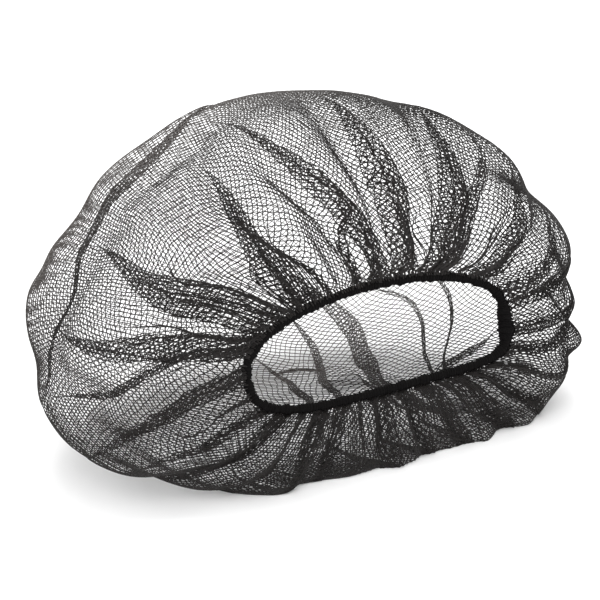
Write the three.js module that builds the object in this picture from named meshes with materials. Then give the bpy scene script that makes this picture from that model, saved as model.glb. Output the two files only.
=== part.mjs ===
import * as THREE from 'three';

// A hairnet: a round net gathered on a ring of elastic, lying puffed up like an open bag.
// Millimetres, +Z up. The opening faces -Y, the long side runs along X, and the underside
// lies flat on Z = 0. The origin is the middle of the flat underside's bounding box.
// The net is a thin closed shell and the elastic is a closed rope with the net gathered round it.

const TURN = Math.PI * 2;

// Overall form of the puffed-up net.
const BODY_WIDTH = 292;
const BODY_DEPTH = 167;
const BODY_HEIGHT = 163;
const BODY_WAIST = 60;
const CROWN_HEIGHT = 63;
const SAG = 5;
const WALL = 2.2;

// The elastic and the opening that it holds.
const OPENING_WIDTH = 153;
const OPENING_CREST = 84.2;
const OPENING_WAIST = 58;
const OPENING_FOOT = 33;
const OPENING_SIDE = 5.4;
const ELASTIC_THICKNESS = 5.4;
const ELASTIC_CLEARANCE = 0.35;

// Folds and gathers, as depths measured square to the unfolded form.
const FOLD_DEPTH = 8;
const FOLD_WIDTH = 0.013;
const DENT_DEPTH = 4;
const RIM_HEIGHT = 9;
const RIM_SPREAD = 0.08;
const RIM_EDGE = 0.02;
const GATHERS = 40;
const GATHER_DEPTH = 1.5;
const PUFFS = 23;
const PUFF_DEPTH = 1.8;
const BILLOWS = 11;
const BILLOW_DEPTH = 1.8;

// How finely the solids are faceted.
const LOOP_STEPS = 240;
const COLUMNS = GATHERS * 4;
const ELASTIC_STEPS = 128;
const ELASTIC_SIDES = 9;

// The opening's own ring, in front of everything that the net does behind it.
const OPENING = {
  along: 0, depth: 0.1, lean: 0.036, side: OPENING_SIDE, half: OPENING_WIDTH / 2,
  crest: OPENING_CREST, waist: OPENING_WAIST, foot: OPENING_FOOT,
  topLeft: 2, topRight: 2.1, lowLeft: 3.5, lowRight: 6,
};

// Rings from the opening to the fullest ring. along: share of the net's radius from its hem.
// depth and lean: shares of the body's depth, lean being how far the foot comes forward of
// the waist and the crest goes behind it. side: share of the body's width. spread, rise,
// settle and drop: share of the way from the opening to the fullest ring, for the half
// width, the crest, the waist and the foot. The last four are the corners' roundness.
const FRONT = [
  { along: 0.03, depth: 0.090, lean: 0.048, side: 0.024, spread: 0.16, rise: 0.10, settle: -0.2, drop: 0.20,
    topLeft: 2.0, topRight: 2.1, lowLeft: 3.2, lowRight: 4.6 },
  { along: 0.09, depth: 0.075, lean: 0.084, side: 0.022, spread: 0.43, rise: 0.29, settle: -0.2, drop: 0.55,
    topLeft: 2.1, topRight: 2.1, lowLeft: 2.7, lowRight: 3.3 },
  { along: 0.17, depth: 0.102, lean: 0.115, side: 0.014, spread: 0.72, rise: 0.54, settle: 0.0, drop: 0.88,
    topLeft: 2.0, topRight: 2.1, lowLeft: 2.4, lowRight: 3.3 },
  { along: 0.25, depth: 0.194, lean: 0.126, side: -0.006, spread: 0.90, rise: 0.80, settle: 0.5, drop: 1.02,
    topLeft: 1.8, topRight: 2.1, lowLeft: 2.7, lowRight: 3.1 },
  { along: 0.35, depth: 0.347, lean: 0.120, side: -0.016, spread: 0.99, rise: 1.00, settle: 1.0, drop: 1.00,
    topLeft: 1.7, topRight: 2.0, lowLeft: 2.9, lowRight: 2.6 },
];

// Rings from the fullest ring to the middle of the crown, which is one point: here spread,
// rise, settle and drop are shares of the way from that point to the fullest ring.
const BACK = [
  { along: 0.48, depth: 0.551, lean: 0.084, side: -0.018, spread: 0.97, rise: 1.00, settle: 1.0, drop: 1.00,
    topLeft: 1.7, topRight: 2.0, lowLeft: 2.9, lowRight: 2.4 },
  { along: 0.61, depth: 0.731, lean: 0.054, side: -0.021, spread: 0.85, rise: 0.87, settle: 0.7, drop: 0.97,
    topLeft: 1.9, topRight: 2.0, lowLeft: 2.6, lowRight: 2.2 },
  { along: 0.73, depth: 0.880, lean: 0.030, side: -0.024, spread: 0.65, rise: 0.62, settle: 0.5, drop: 0.84,
    topLeft: 1.9, topRight: 1.9, lowLeft: 2.3, lowRight: 2.2 },
  { along: 0.86, depth: 0.970, lean: 0.009, side: -0.024, spread: 0.37, rise: 0.31, settle: 0.2, drop: 0.48,
    topLeft: 2.0, topRight: 2.0, lowLeft: 2.0, lowRight: 2.0 },
  { along: 1.00, depth: 1.000, lean: 0.000, side: -0.024, spread: 0.00, rise: 0.00, settle: 0.0, drop: 0.00,
    topLeft: 2.0, topRight: 2.0, lowLeft: 2.0, lowRight: 2.0 },
];

// The main folds, each a valley that starts at the elastic and dies out on the body.
// hem and end: where it starts and ends round the net, in turns from the right end over the
// top. reach: how far along it ends. wide: share of FOLD_WIDTH. deep: share of FOLD_DEPTH.
// lay: how far the valley is laid over sideways, as a share of its width.
const FOLDS = [
  { hem: 0.015, end: 0.016, reach: 0.26, wide: 0.9, deep: 0.75, lay: 0.3 },
  { hem: 0.062, end: 0.066, reach: 0.30, wide: 0.9, deep: 0.75, lay: 0.3 },
  { hem: 0.090, end: 0.088, reach: 0.34, wide: 0.9, deep: 0.9, lay: 0.3 },
  { hem: 0.137, end: 0.122, reach: 0.38, wide: 1.0, deep: 1.0, lay: 0.35 },
  { hem: 0.162, end: 0.166, reach: 0.34, wide: 1.1, deep: 1.0, lay: 0.35 },
  { hem: 0.190, end: 0.206, reach: 0.26, wide: 0.85, deep: 0.75, lay: -0.25 },
  { hem: 0.221, end: 0.224, reach: 0.52, wide: 1.2, deep: 1.1, lay: 0.4 },
  { hem: 0.247, end: 0.320, reach: 0.42, wide: 0.9, deep: 0.9, lay: -0.3 },
  { hem: 0.272, end: 0.277, reach: 0.30, wide: 1.0, deep: 1.0, lay: 0.3 },
  { hem: 0.312, end: 0.340, reach: 0.34, wide: 1.1, deep: 1.0, lay: -0.35 },
  { hem: 0.364, end: 0.420, reach: 0.42, wide: 1.1, deep: 1.1, lay: -0.35 },
  { hem: 0.428, end: 0.422, reach: 0.36, wide: 1.1, deep: 1.0, lay: 0.35 },
  { hem: 0.455, end: 0.457, reach: 0.26, wide: 0.9, deep: 0.75, lay: 0.25 },
  { hem: 0.472, end: 0.480, reach: 0.40, wide: 1.0, deep: 0.9, lay: -0.3 },
  { hem: 0.484, end: 0.540, reach: 0.55, wide: 1.1, deep: 1.0, lay: 0.3 },
  { hem: 0.509, end: 0.560, reach: 0.42, wide: 1.0, deep: 0.9, lay: -0.3 },
  { hem: 0.549, end: 0.566, reach: 0.26, wide: 0.9, deep: 0.75, lay: 0.25 },
  { hem: 0.580, end: 0.590, reach: 0.24, wide: 0.9, deep: 0.75, lay: -0.25 },
  { hem: 0.640, end: 0.655, reach: 0.22, wide: 0.9, deep: 0.7, lay: 0.25 },
  { hem: 0.670, end: 0.674, reach: 0.20, wide: 0.85, deep: 0.6, lay: 0.25 },
  { hem: 0.731, end: 0.735, reach: 0.24, wide: 1.0, deep: 0.35, lay: -0.25 },
  { hem: 0.770, end: 0.768, reach: 0.22, wide: 0.85, deep: 0.6, lay: 0.25 },
  { hem: 0.808, end: 0.808, reach: 0.28, wide: 1.0, deep: 0.4, lay: 0.25 },
  { hem: 0.856, end: 0.842, reach: 0.26, wide: 1.1, deep: 0.6, lay: 0.2 },
  { hem: 0.892, end: 0.884, reach: 0.24, wide: 1.1, deep: 0.55, lay: -0.2 },
  { hem: 0.950, end: 0.984, reach: 0.24, wide: 1.0, deep: 0.75, lay: -0.25 },
  { hem: 0.985, end: 1.008, reach: 0.30, wide: 1.0, deep: 1.0, lay: 0.25 },
];

// Soft dents of the loose crown and sides, and puffs where deep is below zero. round and
// along: the middle. across and down: how far it fades out round the net, in turns, and
// along it. deep: share of DENT_DEPTH.
const DENTS = [
  { round: 0.462, along: 0.40, across: 0.050, down: 0.045, deep: 1.2 },
  { round: 0.348, along: 0.43, across: 0.055, down: 0.050, deep: 1.0 },
  { round: 0.275, along: 0.66, across: 0.030, down: 0.110, deep: 0.9 },
  { round: 0.160, along: 0.58, across: 0.050, down: 0.080, deep: 0.9 },
  { round: 0.090, along: 0.52, across: 0.030, down: 0.100, deep: 1.0 },
  { round: 0.020, along: 0.62, across: 0.040, down: 0.080, deep: 1.0 },
  { round: 0.940, along: 0.50, across: 0.040, down: 0.090, deep: 0.9 },
  { round: 0.545, along: 0.66, across: 0.040, down: 0.080, deep: 1.0 },
  { round: 0.420, along: 0.78, across: 0.060, down: 0.060, deep: 0.9 },
  { round: 0.700, along: 0.84, across: 0.080, down: 0.050, deep: 0.8 },
  { round: 0.755, along: 0.13, across: 0.030, down: 0.060, deep: -1.2 },
  { round: 0.884, along: 0.21, across: 0.028, down: 0.070, deep: -1.6 },
  { round: 0.990, along: 0.23, across: 0.028, down: 0.080, deep: 1.5 },
  { round: 0.932, along: 0.2, across: 0.036, down: 0.100, deep: 1.1 },
  { round: 0.036, along: 0.19, across: 0.018, down: 0.060, deep: -0.2 },
  { round: 0.079, along: 0.28, across: 0.024, down: 0.080, deep: -0.6 },
  { round: 0.187, along: 0.45, across: 0.028, down: 0.090, deep: 0.7 },
  { round: 0.415, along: 0.61, across: 0.060, down: 0.080, deep: 0.4 },
  { round: 0.600, along: 0.26, across: 0.030, down: 0.070, deep: 0.5 },
  { round: 0.776, along: 0.17, across: 0.018, down: 0.060, deep: 0.6 },
  { round: 0.563, along: 0.31, across: 0.020, down: 0.060, deep: -0.4 },
  { round: 0.824, along: 0.175, across: 0.016, down: 0.060, deep: -0.9 },
  { round: 0.730, along: 0.17, across: 0.014, down: 0.060, deep: -0.8 },
];

// The rim, a blunt crease where the bag turns over from its front to its back. round and
// along: a point of it. stand: share of RIM_HEIGHT by which it stands out of the cloth.
const RIM = [
  { round: 0.000, along: 0.21, stand: 0.35 },
  { round: 0.035, along: 0.25, stand: 0.40 },
  { round: 0.080, along: 0.29, stand: 0.50 },
  { round: 0.107, along: 0.37, stand: 0.55 },
  { round: 0.142, along: 0.42, stand: 0.60 },
  { round: 0.187, along: 0.44, stand: 0.70 },
  { round: 0.221, along: 0.50, stand: 0.80 },
  { round: 0.282, along: 0.52, stand: 1.00 },
  { round: 0.320, along: 0.57, stand: 1.00 },
  { round: 0.368, along: 0.60, stand: 1.00 },
  { round: 0.453, along: 0.60, stand: 1.00 },
  { round: 0.502, along: 0.51, stand: 0.90 },
  { round: 0.546, along: 0.50, stand: 0.60 },
  { round: 0.562, along: 0.34, stand: 0.35 },
  { round: 0.600, along: 0.28, stand: 0.20 },
  { round: 0.646, along: 0.20, stand: 0.20 },
  { round: 0.731, along: 0.17, stand: 0.15 },
  { round: 0.838, along: 0.18, stand: 0.15 },
  { round: 0.912, along: 0.18, stand: 0.20 },
  { round: 1.000, along: 0.21, stand: 0.35 },
];

// Where the elastic is thicker: its sewn ends, and lumps where the net bunches on it.
// round: the middle, in turns. across: how far it fades out. extra: share of the thickness.
const LUMPS = [
  { round: 0.985, across: 0.022, extra: 0.34 },
  { round: 0.470, across: 0.020, extra: 0.14 },
  { round: 0.560, across: 0.016, extra: 0.12 },
];

const mix = (a, b, share) => a + (b - a) * share;

function smooth(value) {
  const x = Math.min(Math.max(value, 0), 1);
  return x * x * (3 - 2 * x);
}

function wrap(turns) {
  return turns - Math.floor(turns);
}

// Shortest way round from one place on the loop to another, in turns.
function apart(a, b) {
  return wrap(a - b + 0.5) - 0.5;
}

function bell(away, width) {
  return Math.exp(-((away / width) ** 2));
}

// Real sizes of a ring from its row of shares.
function ringSizes(row, start) {
  return {
    along: row.along,
    depth: row.depth * BODY_DEPTH,
    lean: row.lean * BODY_DEPTH,
    side: row.side * BODY_WIDTH,
    half: mix(start.half, BODY_WIDTH / 2, row.spread),
    crest: mix(start.crest, BODY_HEIGHT, row.rise),
    waist: mix(start.waist, BODY_WAIST, row.settle),
    foot: mix(start.foot, -SAG, row.drop),
    topLeft: row.topLeft,
    topRight: row.topRight,
    lowLeft: row.lowLeft,
    lowRight: row.lowRight,
  };
}

// Points of a ring, evenly spaced round its length, starting over the top and going to -X.
function ringLoop(ring) {
  const raw = [];
  for (let i = 0; i <= LOOP_STEPS; i += 1) {
    const angle = TURN * (i / LOOP_STEPS + 0.25);
    const c = Math.cos(angle);
    const s = Math.sin(angle);
    const top = c < 0 ? ring.topLeft : ring.topRight;
    const low = c < 0 ? ring.lowLeft : ring.lowRight;
    const round = s > 0 ? top : low;
    const x = Math.sign(c) * Math.abs(c) ** (2 / round);
    const k = Math.sign(s) * Math.abs(s) ** (2 / round);
    const reach = s > 0 ? ring.crest - ring.waist : ring.waist - ring.foot;
    raw.push(new THREE.Vector3(ring.side + ring.half * x, ring.depth + ring.lean * k, ring.waist + reach * k));
  }
  const run = [0];
  for (let i = 1; i <= LOOP_STEPS; i += 1) {
    run.push(run[i - 1] + raw[i].distanceTo(raw[i - 1]));
  }
  const whole = run[LOOP_STEPS];
  const even = [];
  let at = 0;
  for (let i = 0; i <= LOOP_STEPS; i += 1) {
    const want = (whole * i) / LOOP_STEPS;
    while (at < LOOP_STEPS - 1 && run[at + 1] < want) {
      at += 1;
    }
    const step = run[at + 1] - run[at];
    const share = step > 0 ? (want - run[at]) / step : 0;
    even.push(raw[at].clone().lerp(raw[at + 1], Math.min(share, 1)));
  }
  return even;
}

const centreLoop = ringLoop({
  ...OPENING,
  depth: OPENING.depth * BODY_DEPTH,
  lean: OPENING.lean * BODY_DEPTH,
});

// A point on a closed loop of evenly spaced points.
function onLoop(loop, round) {
  const place = wrap(round - 0.25) * LOOP_STEPS;
  const i = Math.min(Math.floor(place), LOOP_STEPS - 1);
  return loop[i].clone().lerp(loop[i + 1], place - i);
}

function elasticRadius(round) {
  let extra = 0;
  for (const lump of LUMPS) {
    extra += lump.extra * bell(apart(round, lump.round), lump.across);
  }
  return (ELASTIC_THICKNESS / 2) * (1 + extra);
}

// The elastic's run at one place: its centre, its way on, and the ways out and forward.
function elasticFrame(round) {
  const step = 1.5 / LOOP_STEPS;
  const centre = onLoop(centreLoop, round);
  const on = onLoop(centreLoop, round + step).sub(onLoop(centreLoop, round - step)).normalize();
  const out = new THREE.Vector3().crossVectors(on, new THREE.Vector3(0, -1, 0)).normalize();
  const forward = new THREE.Vector3().crossVectors(out, on).normalize();
  return { centre, on, out, forward };
}

// The net's hem, just clear of the elastic's outside.
function hemLoop() {
  const loop = [];
  for (let i = 0; i <= LOOP_STEPS; i += 1) {
    const round = i / LOOP_STEPS + 0.25;
    const { centre, out } = elasticFrame(round);
    loop.push(centre.addScaledVector(out, elasticRadius(round) + ELASTIC_CLEARANCE));
  }
  return loop;
}

const crownPoint = { half: 0, crest: CROWN_HEIGHT, waist: CROWN_HEIGHT, foot: CROWN_HEIGHT };
const rings = [
  { along: 0, loop: hemLoop() },
  ...FRONT.map((row) => ({ along: row.along, loop: ringLoop(ringSizes(row, OPENING)) })),
  ...BACK.map((row) => ({ along: row.along, loop: ringLoop(ringSizes(row, crownPoint)) })),
];

// Slope of the form along the net at each ring, for each place round it.
const slopes = rings.map((ring, j) => {
  const before = rings[Math.max(j - 1, 0)];
  const after = rings[Math.min(j + 1, rings.length - 1)];
  const near = ring.along - before.along;
  const far = after.along - ring.along;
  return ring.loop.map((point, i) => {
    const back = point.clone().sub(before.loop[i]);
    const on = after.loop[i].clone().sub(point);
    if (near === 0) {
      return on.divideScalar(far);
    }
    if (far === 0) {
      return back.divideScalar(near);
    }
    const weight = 1 / (near * far * (near + far));
    return on.multiplyScalar(near * near * weight).addScaledVector(back, far * far * weight);
  });
});

// The unfolded form: a smooth surface through the rings.
function form(round, along) {
  const x = Math.min(Math.max(along, 0), 1);
  let j = 0;
  while (j < rings.length - 2 && rings[j + 1].along <= x) {
    j += 1;
  }
  const gap = rings[j + 1].along - rings[j].along;
  const f = (x - rings[j].along) / gap;
  const point = onLoop(rings[j].loop, round).multiplyScalar((1 + 2 * f) * (1 - f) ** 2);
  point.addScaledVector(onLoop(rings[j + 1].loop, round), f * f * (3 - 2 * f));
  point.addScaledVector(onLoop(slopes[j], round), gap * f * (1 - f) ** 2);
  point.addScaledVector(onLoop(slopes[j + 1], round), -gap * f * f * (1 - f));
  return point;
}

// Outward direction of the unfolded form.
function outward(round, along) {
  const step = 0.0015;
  const onward = form(round + step, along).sub(form(round - step, along));
  const inward = form(round, Math.min(along + step, 1)).sub(form(round, Math.max(along - step, 0)));
  return inward.cross(onward).normalize();
}

// Depth of the folds at one place, and how far they are laid over sideways, in turns.
function folds(round, along) {
  let depth = 0;
  let lay = 0;
  for (const fold of FOLDS) {
    const f = Math.min(along / fold.reach, 1);
    const centre = fold.hem + apart(fold.end, fold.hem) * smooth(f);
    const width = FOLD_WIDTH * fold.wide * (0.55 + 0.6 * f);
    const shape = bell(apart(round, centre), width);
    const fade = smooth(along / 0.12) * (1 - smooth((f - 0.3) / 0.7));
    depth += FOLD_DEPTH * fold.deep * fade * shape;
    lay += FOLD_WIDTH * fold.wide * fold.lay * fade * shape;
  }
  for (const dent of DENTS) {
    const shape = bell(apart(round, dent.round), dent.across) * bell(along - dent.along, dent.down);
    depth += DENT_DEPTH * dent.deep * shape;
  }
  return { depth, lay };
}

// Height of the rim. The cloth away from it is sunk, so that the rim keeps the bag's outline.
function rim(round, along) {
  const place = wrap(round);
  const i = Math.max(RIM.findIndex((row) => row.round >= place), 1);
  const share = (place - RIM[i - 1].round) / (RIM[i].round - RIM[i - 1].round);
  const away = along - mix(RIM[i - 1].along, RIM[i].along, share);
  const stand = RIM_HEIGHT * mix(RIM[i - 1].stand, RIM[i].stand, share);
  const shape = Math.exp(-Math.sqrt(away * away + RIM_EDGE * RIM_EDGE) / RIM_SPREAD) - 0.85;
  return stand * shape * smooth(along / 0.14) * (1 - smooth((along - 0.75) / 0.25));
}

// Small gathers by the elastic, puffs behind them and wide billows on the body.
function gathers(round, along) {
  const uneven = round + 0.006 * Math.sin(TURN * 5 * round + 1) + 0.004 * Math.sin(TURN * 9 * round + 2);
  const small = Math.sin(TURN * GATHERS * uneven + 3 * along) * (1 + 0.4 * Math.sin(TURN * 7 * round + 0.5));
  const mid = Math.sin(TURN * PUFFS * uneven + 1.7 + 2 * along) * (1 + 0.5 * Math.sin(TURN * 3 * round + 2.5));
  const wide = Math.sin(TURN * BILLOWS * uneven + 0.7) * (1 + 0.5 * Math.sin(TURN * 2 * round + 1.5));
  return GATHER_DEPTH * small * smooth(along / 0.03) * (1 - smooth((along - 0.06) / 0.14))
    + PUFF_DEPTH * mid * smooth(along / 0.1) * (1 - smooth((along - 0.22) / 0.28))
    + BILLOW_DEPTH * wide * smooth((along - 0.1) / 0.2) * (1 - smooth((along - 0.55) / 0.35));
}

// A point of the net's outside and the one straight under it on its inside. The floor
// flattens whatever would hang below it.
function netPoint(round, along) {
  const { depth, lay } = folds(round, along);
  const place = round + lay;
  const lift = gathers(round, along) + rim(round, along) - depth;
  const normal = outward(place, along);
  const surface = form(place, along);
  const outside = surface.clone().addScaledVector(normal, lift);
  const inside = surface.addScaledVector(normal, lift - WALL);
  outside.z = Math.max(outside.z, 0);
  inside.z = Math.max(inside.z, WALL);
  return { outside, inside, lift };
}

// Closed solid from a list of points and triangles.
function solid(points, triangles) {
  const geometry = new THREE.BufferGeometry();
  geometry.setAttribute('position', new THREE.Float32BufferAttribute(points.flatMap((p) => [p.x, p.y, p.z]), 3));
  geometry.setIndex(triangles.flat());
  geometry.computeVertexNormals();
  return geometry;
}

// Rows of the net's facets from the hem to the crown: how far along, and one column in how
// many is kept, since the crown has fewer folds to show.
const NET_ROWS = [
  { along: 0.000, keep: 1 }, { along: 0.022, keep: 1 }, { along: 0.050, keep: 1 }, { along: 0.082, keep: 1 },
  { along: 0.118, keep: 1 }, { along: 0.158, keep: 1 }, { along: 0.202, keep: 1 }, { along: 0.250, keep: 1 },
  { along: 0.305, keep: 1 }, { along: 0.365, keep: 2 }, { along: 0.430, keep: 2 }, { along: 0.500, keep: 2 },
  { along: 0.575, keep: 2 }, { along: 0.655, keep: 4 }, { along: 0.740, keep: 4 }, { along: 0.830, keep: 4 },
  { along: 0.920, keep: 8 },
];

function buildNet() {
  const points = [];
  const triangles = [];
  const outer = [];
  const inner = [];
  const lifts = [];
  for (const row of NET_ROWS) {
    const count = COLUMNS / row.keep;
    const outerRow = [];
    const innerRow = [];
    for (let i = 0; i < count; i += 1) {
      const { outside, inside, lift } = netPoint(i / count, row.along);
      outerRow.push(points.push(outside) - 1);
      innerRow.push(points.push(inside) - 1);
      lifts.push(lift, lift);
    }
    outer.push(outerRow);
    inner.push(innerRow);
  }
  const crown = netPoint(0, 1);
  const flat = new THREE.Vector3(0, 1, 0);
  crown.inside.copy(crown.outside).addScaledVector(flat, -WALL);
  const outerCrown = points.push(crown.outside) - 1;
  const innerCrown = points.push(crown.inside) - 1;

  // Joins two rows of one side; a row may have half the columns of the one before it. Each
  // four-cornered facet is split along the way in which the fold runs.
  const stitch = (near, far, flip) => {
    const put = (a, b, c) => triangles.push(flip ? [a, c, b] : [a, b, c]);
    const n = near.length;
    const m = far.length;
    for (let i = 0; i < m; i += 1) {
      const next = (i + 1) % m;
      if (n === m) {
        const across = Math.abs(lifts[near[next]] - lifts[far[i]]);
        const other = Math.abs(lifts[near[i]] - lifts[far[next]]);
        if (across <= other) {
          put(near[i], far[i], near[next]);
          put(near[next], far[i], far[next]);
        } else {
          put(near[i], far[i], far[next]);
          put(near[i], far[next], near[next]);
        }
      } else {
        const first = near[2 * i];
        const middle = near[2 * i + 1];
        const last = near[(2 * i + 2) % n];
        put(first, far[i], middle);
        put(middle, far[i], far[next]);
        put(middle, far[next], last);
      }
    }
  };
  for (let j = 0; j < NET_ROWS.length - 1; j += 1) {
    stitch(outer[j], outer[j + 1], false);
    stitch(inner[j], inner[j + 1], true);
  }
  const last = NET_ROWS.length - 1;
  const end = outer[last].length;
  for (let i = 0; i < end; i += 1) {
    const next = (i + 1) % end;
    triangles.push([outer[last][i], outerCrown, outer[last][next]]);
    triangles.push([inner[last][i], inner[last][next], innerCrown]);
  }
  for (let i = 0; i < COLUMNS; i += 1) {
    const next = (i + 1) % COLUMNS;
    triangles.push([outer[0][i], outer[0][next], inner[0][next]]);
    triangles.push([outer[0][i], inner[0][next], inner[0][i]]);
  }
  return { points, triangles };
}

function buildElastic() {
  const points = [];
  const triangles = [];
  for (let i = 0; i < ELASTIC_STEPS; i += 1) {
    const round = i / ELASTIC_STEPS;
    const { centre, out, forward } = elasticFrame(round);
    const radius = elasticRadius(round);
    for (let k = 0; k < ELASTIC_SIDES; k += 1) {
      const angle = (TURN * k) / ELASTIC_SIDES;
      points.push(centre.clone().addScaledVector(out, radius * Math.cos(angle))
        .addScaledVector(forward, radius * Math.sin(angle)));
    }
  }
  for (let i = 0; i < ELASTIC_STEPS; i += 1) {
    const here = i * ELASTIC_SIDES;
    const there = ((i + 1) % ELASTIC_STEPS) * ELASTIC_SIDES;
    for (let k = 0; k < ELASTIC_SIDES; k += 1) {
      const next = (k + 1) % ELASTIC_SIDES;
      triangles.push([here + k, there + k, here + next]);
      triangles.push([here + next, there + k, there + next]);
    }
  }
  return { points, triangles };
}

const net = buildNet();
const elastic = buildElastic();

// Puts the origin in the middle of the footprint, on the floor.
const box = new THREE.Box3().setFromPoints([...net.points, ...elastic.points]);
const middle = box.getCenter(new THREE.Vector3());
const origin = new THREE.Vector3(middle.x, middle.y, box.min.z);
for (const point of [...net.points, ...elastic.points]) {
  point.sub(origin);
}

const netMesh = new THREE.Mesh(
  solid(net.points, net.triangles),
  new THREE.MeshStandardMaterial({ color: 0x2b2726, roughness: 0.7, metalness: 0 }),
);
netMesh.name = 'net';

const elasticMesh = new THREE.Mesh(
  solid(elastic.points, elastic.triangles),
  new THREE.MeshStandardMaterial({ color: 0x151312, roughness: 0.85, metalness: 0 }),
);
elasticMesh.name = 'elastic_band';

const hairnet = new THREE.Group();
hairnet.add(netMesh, elasticMesh);

export default hairnet;
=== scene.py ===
import math

import bpy
import numpy as np
from bpy.props import FloatProperty, FloatVectorProperty, IntProperty, PointerProperty
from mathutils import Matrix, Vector


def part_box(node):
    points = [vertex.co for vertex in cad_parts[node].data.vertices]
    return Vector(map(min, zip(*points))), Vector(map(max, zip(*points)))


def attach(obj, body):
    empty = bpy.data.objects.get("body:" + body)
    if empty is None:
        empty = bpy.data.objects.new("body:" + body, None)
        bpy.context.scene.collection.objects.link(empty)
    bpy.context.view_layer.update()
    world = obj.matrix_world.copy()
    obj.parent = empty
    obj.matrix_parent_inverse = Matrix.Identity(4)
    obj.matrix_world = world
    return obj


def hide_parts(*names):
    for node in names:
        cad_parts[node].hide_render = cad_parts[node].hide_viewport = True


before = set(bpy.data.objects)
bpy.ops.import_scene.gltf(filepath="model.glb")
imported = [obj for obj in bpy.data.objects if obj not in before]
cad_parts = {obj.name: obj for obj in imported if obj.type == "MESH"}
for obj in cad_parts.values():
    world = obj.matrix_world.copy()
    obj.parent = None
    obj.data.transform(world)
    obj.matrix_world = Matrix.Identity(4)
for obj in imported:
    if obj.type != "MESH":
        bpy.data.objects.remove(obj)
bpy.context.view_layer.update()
ELASTIC_BOX = [Vector(corner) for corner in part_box("elastic_band")]

bl_info = {
    "name": "Hairnet",
    "version": (1, 0, 0),
    "blender": (4, 5, 0),
    "location": "3D View > Sidebar > Hairnet",
    "description": "A gathered net of fine strands on a wrapped elastic, in its studio",
    "category": "Object",
}

MM = 0.001
TURN = 2 * np.pi
# The camera's sensor in millimetres, the picture's side in pixels, and the pixel at which the
# form's own zero is seen.
SENSOR = 36
PICTURE = 600
ZERO_SEEN_AT = (390.4, 459.9)

# The puffed-up form, in millimetres, as the part's solids have it. It is built round its own
# zero and moved onto the frame's elastic at the end.
BODY_WIDTH = 292.0
BODY_DEPTH = 167.0
BODY_HEIGHT = 163.0
BODY_WAIST = 60.0
CROWN_HEIGHT = 63.0
SAG = 5.0
OPENING_HALF = 76.5
OPENING_CREST = 84.2
OPENING_WAIST = 58.0
OPENING_FOOT = 33.0
OPENING_SIDE = 5.4
OPENING_DEPTH = 0.1
OPENING_LEAN = 0.036
OPENING_CORNERS = (2.0, 2.1, 3.5, 6.0)
ELASTIC_RADIUS = 2.7
ELASTIC_CLEARANCE = 0.35
FOLD_DEPTH = 8.0
FOLD_WIDTH = 0.013
DENT_DEPTH = 4.0
RIM_HEIGHT = 9.0
RIM_SPREAD = 0.08
RIM_EDGE = 0.02
GATHERS = 40
GATHER_DEPTH = 1.5
PUFFS = 23
PUFF_DEPTH = 1.8
BILLOWS = 11
BILLOW_DEPTH = 1.8
LOOP_STEPS = 240
# How far out the net lies from the part's form, away from the elastic.
NET_OUT = 0.8
# How far the mesh is drawn out at the crown, where 1 is as far as on the whole.
AT_CROWN = 0.78
# How much thicker the strands are by the elastic and finer at the crown.
THICKER_AT_HEM = 0.2
FINER_AT_CROWN = 0.06

# Pleats: softness of their bends and reach of their layers' lift as shares of the way round,
# that lift in millimetres, the sum of shares that takes up all spare cloth, and how much of a
# pleat each of its two outer folds has by the elastic.
PLEAT_SOFT = 0.0006
PLEAT_SPREAD = 0.002
PLEAT_LIFT = 0.8
PLEAT_SHARES = 19.0
OUTER_FOLDS = 0.18
# Creases that run round: softness, reach of the lift, and the stretch within which the cloth
# that they take up is made good, as shares of the way along.
ROUND_SOFT = 0.006
ROUND_SPREAD = 0.004
ROUND_STRETCH = 0.45
# Creases that run down: softness in millimetres, then reach and stretch as shares of the way
# round, and how far the layers overlap.
DOWN_SOFT = 1.5
DOWN_SPREAD = 0.003
DOWN_STRETCH = 0.3
DOWN_OVERLAP = 2.2
# Where the cloth hangs stretched under the opening: place round, how far round, and how much.
HANGING = (0.745, 0.14, 0.035)
# The lump where the hem's ends meet: place, how far it fades out, and height. Then the height
# and width of the bunch that each pleat makes in the hem.
HEM_LUMP = (0.98, 0.035, 1.3)
HEM_BUNCH = 0.3
HEM_BUNCH_WIDTH = 0.006
# Shares of the elastic's radius: its core and what a bulge adds, the wrapping thread and what
# a bulge adds, and the hem over them.
CORE = (0.60, 0.14)
WRAP = (0.62, 0.18)
HEM_OVER = 0.72

# Rings from the opening to the fullest ring: along, depth, lean, side, spread, rise, settle,
# drop, and the roundness of the corners top left, top right, low left and low right.
FRONT = (
    (0.03, 0.090, 0.048, 0.024, 0.16, 0.10, -0.2, 0.20, 2.0, 2.1, 3.2, 4.6),
    (0.09, 0.075, 0.084, 0.022, 0.43, 0.29, -0.2, 0.55, 2.1, 2.1, 2.7, 3.3),
    (0.17, 0.102, 0.115, 0.014, 0.72, 0.54, 0.0, 0.88, 2.0, 2.1, 2.4, 3.3),
    (0.25, 0.194, 0.126, -0.006, 0.90, 0.80, 0.5, 1.02, 1.8, 2.1, 2.7, 3.1),
    (0.35, 0.347, 0.120, -0.016, 0.99, 1.00, 1.0, 1.00, 1.7, 2.0, 2.9, 2.6),
)
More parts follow.
